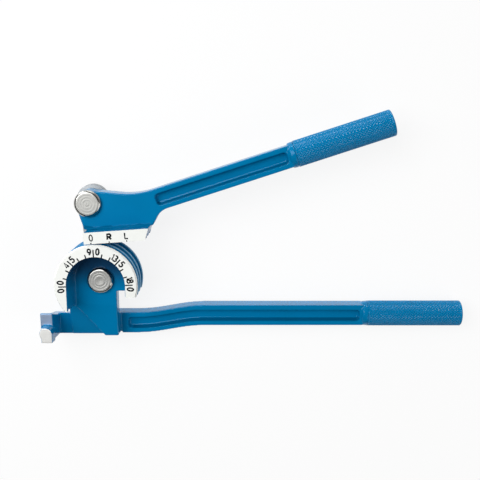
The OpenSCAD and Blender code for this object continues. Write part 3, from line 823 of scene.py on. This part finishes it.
class BENDER_OT_scales(bpy.types.Operator):
    """Prints the degree scale on the mandrel and the index marks on the shoe"""
    bl_idname = "bender.scales"
    bl_label = "Scales"

    def execute(self, context):
        marks = props("print")
        level = PRINT_Z + FILM / 2
        for node in ("degree_scale", "index_strip"):
            NODES[node].data.materials.clear()
            NODES[node].data.materials.append(white_print())
        # The scale starts at the left, and is printed a little turned on the mandrel
        first = math.pi + math.radians(1.5)
        ticks = grown("ticks", tick_tree(), {
            "Count": 13, "Every": 3, "First": first, "Step": math.radians(15),
            "Inner": SCALE_INNER, "Long": marks.tick_long, "Short": marks.tick_short,
            "Width": marks.tick_width, "Thickness": FILM, "Level": level,
            "Material": black_print()})
        piece("scale_ticks", ticks, "body", "print")
        figures, letters = [], []
        ring = Matrix.Translation((0, SCALE_INNER + FIGURE_FOOT + marks.figure_height / 2, level))
        for degrees, before, after in FIGURES:
            spots = [(AFTER, after)]
            spots += [(-BEFORE - APART * i, text) for i, text in enumerate(reversed(before))]
            for shift, text in spots:
                angle = first - math.radians(degrees + shift)
                place = Matrix.Rotation(angle - math.pi / 2, 4, "Z") @ ring
                figures.append(figure(text, marks.figure_height, marks.stroke, place))
        shoe = (Matrix.Translation((HANDLE_PIN.x, HANDLE_PIN.y, level))
                @ Matrix.Rotation(SHOE_TILT, 4, "Z"))
        for text, weight, x, dash in LETTERS:
            place = shoe @ Matrix.Translation((x * MM, LETTER_Y, 0))
            letters.append(figure(text, marks.letter_height, marks.stroke * weight, place))
            bar = bmesh.new()
            bmesh.ops.create_cube(bar, size=1.0, matrix=shoe
                                  @ Matrix.Translation((dash * MM, DASH_Y, 0))
                                  @ Matrix.Diagonal((DASH_LENGTH, DASH_HEIGHT, FILM, 1)))
            letters.append(as_mesh("dash", bar))
        for name, meshes, body in (("scale_figures", figures, "body"),
                                   ("index_marks", letters, "handle")):
            mesh = joined(name, meshes)
            mesh.materials.append(black_print())
            piece(name, mesh, body, "print")
        return {"FINISHED"}


# Rings on the two pin heads, as shares of the face's radius and depths in millimetres
PIN_RINGS = {
    "mandrel_pin": ((0.86, 0.0), (0.82, 0.08), (0.72, 0.08), (0.68, 0.0), (0.62, 0.0), (0.58, 0.12),
                    (0.50, 0.12), (0.46, 0.0), (0.40, 0.0), (0.34, 0.1), (0.12, 0.1), (0.08, 0.16)),
    "handle_pin": ((0.82, 0.0), (0.80, 0.03), (0.74, 0.03), (0.72, 0.0), (0.56, 0.0), (0.54, 0.03),
                   (0.50, 0.03), (0.48, 0.0), (0.30, 0.0), (0.28, 0.03), (0.24, 0.03), (0.22, 0.0),
                   (0.06, 0.0), (0.04, 0.1)),
}


class BENDER_OT_pivots(bpy.types.Operator):
    """Turns the two pivot pins and finishes the small parts on them"""
    bl_idname = "bender.pivots"
    bl_label = "Pivots"

    def execute(self, context):
        steel = finish("stamped_steel", rolled_metal, tint=linear("#B9BBB8"), grain=0.6 * MM,
                       roughness=0.4)
        bronze = finish("bearing_bronze", rolled_metal, tint=linear("#B08D57"), grain=0.8 * MM,
                        roughness=0.45)
        for node, made in NODES.items():
            if node.endswith(("washer", "pin_ring", "bush")):
                made.data.materials.clear()
                made.data.materials.append(bronze if node.endswith("bush") else steel)
        for node, rings in PIN_RINGS.items():
            low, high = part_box(node)
            centre = (low + high) / 2
            head, top = (high.x - low.x) / 2, high.z - low.z
            # From the tail up: its chamfer, the retaining ring's groove, and the head's eased seat
            shank, chamfer, neck = 6 * MM, 0.4 * MM, 5.2 * MM
            groove, groove_end = 1.4 * MM, 2.6 * MM
            seat, land, ease = top - 3.5 * MM, 0.15 * MM, 0.7 * MM
            profile = [(0, 0), (0, shank - chamfer), (chamfer, shank), (groove, shank),
                       (groove, neck), (groove_end, neck), (groove_end, shank), (seat, shank),
                       (seat, head - ease), (seat + land, head - ease), (seat + land + ease, head)]
            # The bevel is a little crowned, so it mirrors a wide strip of the room
            bevel, steep, flat = 1.8 * MM, math.radians(60), math.radians(18)
            face = head - bevel
            crown = bevel / (math.sin(steep) - math.sin(flat))
            profile += bow(top - crown * math.cos(flat), face - crown * math.sin(flat),
                           crown, crown, math.degrees(steep), math.degrees(flat), 8)
            # Shallow rings that the facing cut leaves, and the floor of the centre mark
            profile += [(top - deep * MM, face * share) for share, deep in rings]
            profile.append((top - 0.12 * MM, 0))
            mesh = as_mesh("turned_" + node, lathe(profile, columns=128))
            # Local X is the pin's axis
            mesh.transform(Matrix.Translation((centre.x, centre.y, low.z))
                           @ Matrix.Rotation(-math.pi / 2, 4, "Y"))
            dressed(mesh, turned_steel("turned_steel_" + node, centre, face), sharp=30)
            piece("turned_" + node, mesh, "link", "steel", node)
        return {"FINISHED"}


class BENDER_OT_link(bpy.types.Operator):
    """Breaks the link plate's edges and plates it"""
    bl_idname = "bender.link"
    bl_label = "Link"

    def execute(self, context):
        zinc = finish("zinc_plate", rolled_metal, tint=props("pivots").zinc, grain=2 * MM,
                      roughness=0.5, along=math.atan2(HANDLE_PIN.y, HANDLE_PIN.x), metallic=0.6)
        mesh = applied(welded(NODES["link_plate"].data),
                       ("DECIMATE", {"decimate_type": "DISSOLVE", "angle_limit": math.radians(1)}),
                       ("BEVEL", {"width": 0.6 * MM, "segments": 3, "limit_method": "ANGLE",
                                  "angle_limit": math.radians(40)}))
        dressed(mesh, zinc, sharp=35)
        piece("plated_link", mesh, "link", "plated", "link_plate")
        return {"FINISHED"}


# Half the floor's side, and how far it lies below the part
FLOOR_HALF, FLOOR_DROP = 30.0, 0.02 * MM
# Each lamp's size and place, and the point that both are turned to
LAMPS = {"key": (0.9, (-0.4, 0.38, 0.9)), "fill": (0.8, (0.85, -0.35, 0.7))}
LAMP_AIM = Vector((0.08, 0.02, 0.02))
# The camera's place, its tilt, and its lens and sensor in millimetres
CAMERA_AT, CAMERA_TILT = (0.1111, 0.1374, 0.5752), math.radians(-11)
CAMERA_LENS, CAMERA_SENSOR = 52.5, 36


class BENDER_OT_stage(bpy.types.Operator):
    """Sets up the floor, the lamps and the camera"""
    bl_idname = "bender.stage"
    bl_label = "Stage"

    def execute(self, context):
        stage = props("stage")
        scene = context.scene
        scene.view_settings.view_transform = "Standard"
        mesh = bpy.data.meshes.new("floor")
        mesh.from_pydata([(x * FLOOR_HALF, y * FLOOR_HALF, -FLOOR_DROP)
                          for x, y in ((-1, -1), (1, -1), (1, 1), (-1, 1))], [], [(0, 1, 2, 3)])
        backdrop, tree, shader, place = material("white_backdrop", Roughness=0.9,
                                                 Specular_IOR_Level=0.1,
                                                 Emission_Color=(1, 1, 1, 1))
        # Clouds about 40 mm across
        tooth = add(tree, "ShaderNodeTexNoise", {"Vector": place, "Scale": 1 / (40 * MM)})
        paper = add(tree, "ShaderNodeMix", {"Factor": tooth, "A": stage.floor,
                                            "B": shaded(stage.floor, 0.99)}, data_type="RGBA")
        # For the eye, and for what mirrors it, the backdrop is lifted to white and keeps a pale
        # shadow
        path = add(tree, "ShaderNodeLightPath").outputs
        seen = path["Is Camera Ray"]
        for ray in ("Is Glossy Ray", "Is Transmission Ray"):
            seen = add(tree, "ShaderNodeMath", {0: seen, 1: path[ray]}, operation="MAXIMUM")
        shown = add(tree, "ShaderNodeMix", {"Factor": seen, "A": paper,
                                            "B": shaded(stage.floor, 1 - stage.lift)},
                    data_type="RGBA")
        lift = add(tree, "ShaderNodeMath", {0: seen, 1: stage.lift}, operation="MULTIPLY")
        wire(tree, shader, {"Base Color": shown, "Emission Strength": lift})
        mesh.materials.append(backdrop)
        floor = linked("floor", mesh)
        for name, (size, at) in LAMPS.items():
            lamp = bpy.data.lights.new(name + "_lamp", "AREA")
            lamp.energy, lamp.size = getattr(stage, name), size
            holder = linked(name + "_lamp", lamp)
            holder.location = at
            holder.rotation_euler = (LAMP_AIM - holder.location).to_track_quat("-Z", "Y").to_euler()
        world = bpy.data.worlds.new("studio")
        world.use_nodes = True
        tree = world.node_tree
        way = add(tree, "ShaderNodeTexCoord").outputs["Generated"]
        x, y, z = add(tree, "ShaderNodeSeparateXYZ", {0: way}).outputs
        # Dim walls, the one at the left the dimmest, under a dark ceiling
        walls = zone(tree, (y, -1.0, 1.0, 0.15, 0.3), (x, -0.9, 0.3, 0.1, 1.0),
                     (z, 0.5, 0.85, 1.0, 0.12))
        # A low bright window in the far wall gives the upper edges their glints
        window = zone(tree, (y, 0.45, 0.75, 0.0, 14.0), (z, 0.0, 0.03, 0.0, 1.0),
                      (z, 0.08, 0.12, 1.0, 0.0), (x, 0.3, 0.5, 1.0, 0.0))
        light = add(tree, "ShaderNodeMath", {0: walls, 1: window}, operation="ADD")
        wire(tree, tree.nodes["Background"], {"Color": light, "Strength": stage.sky})
        scene.world = world
        camera = bpy.data.cameras.new("camera")
        camera.lens, camera.sensor_width = CAMERA_LENS, CAMERA_SENSOR
        camera.sensor_fit = "HORIZONTAL"
        holder = linked("camera", camera)
        holder.location = CAMERA_AT
        holder.rotation_euler = (CAMERA_TILT, 0, 0)
        scene.camera = holder
        return {"FINISHED"}


GROUPS = {"castings": BenderCastings, "grips": BenderGrips, "print": BenderPrint,
          "pivots": BenderPivots, "stage": BenderStage}
OPERATORS = (BENDER_OT_castings, BENDER_OT_grips, BENDER_OT_scales, BENDER_OT_pivots,
             BENDER_OT_link, BENDER_OT_stage)


class BENDER_PT_panel(bpy.types.Panel):
    """Lists the settings and the operators"""
    bl_idname = "BENDER_PT_panel"
    bl_label = "Tube bender"
    bl_space_type = "VIEW_3D"
    bl_region_type = "UI"
    bl_category = "Tube bender"

    def draw(self, context):
        for name, group in GROUPS.items():
            box = self.layout.box()
            for key in group.__annotations__:
                box.prop(props(name), key)
        for operator in OPERATORS:
            self.layout.operator(operator.bl_idname)


def register():
    for name, group in GROUPS.items():
        bpy.utils.register_class(group)
        setattr(bpy.types.Scene, "bender_" + name, PointerProperty(type=group))
    for made in OPERATORS + (BENDER_PT_panel,):
        bpy.utils.register_class(made)


def unregister():
    for made in reversed(OPERATORS + (BENDER_PT_panel,)):
        bpy.utils.unregister_class(made)
    for name, group in reversed(GROUPS.items()):
        delattr(bpy.types.Scene, "bender_" + name)
        bpy.utils.unregister_class(group)


def main():
    register()
    bpy.ops.bender.castings()
    bpy.ops.bender.grips()
    bpy.ops.bender.scales()
    bpy.ops.bender.pivots()
    bpy.ops.bender.link()
    bpy.ops.bender.stage()


if __name__ == "__main__":
    main()
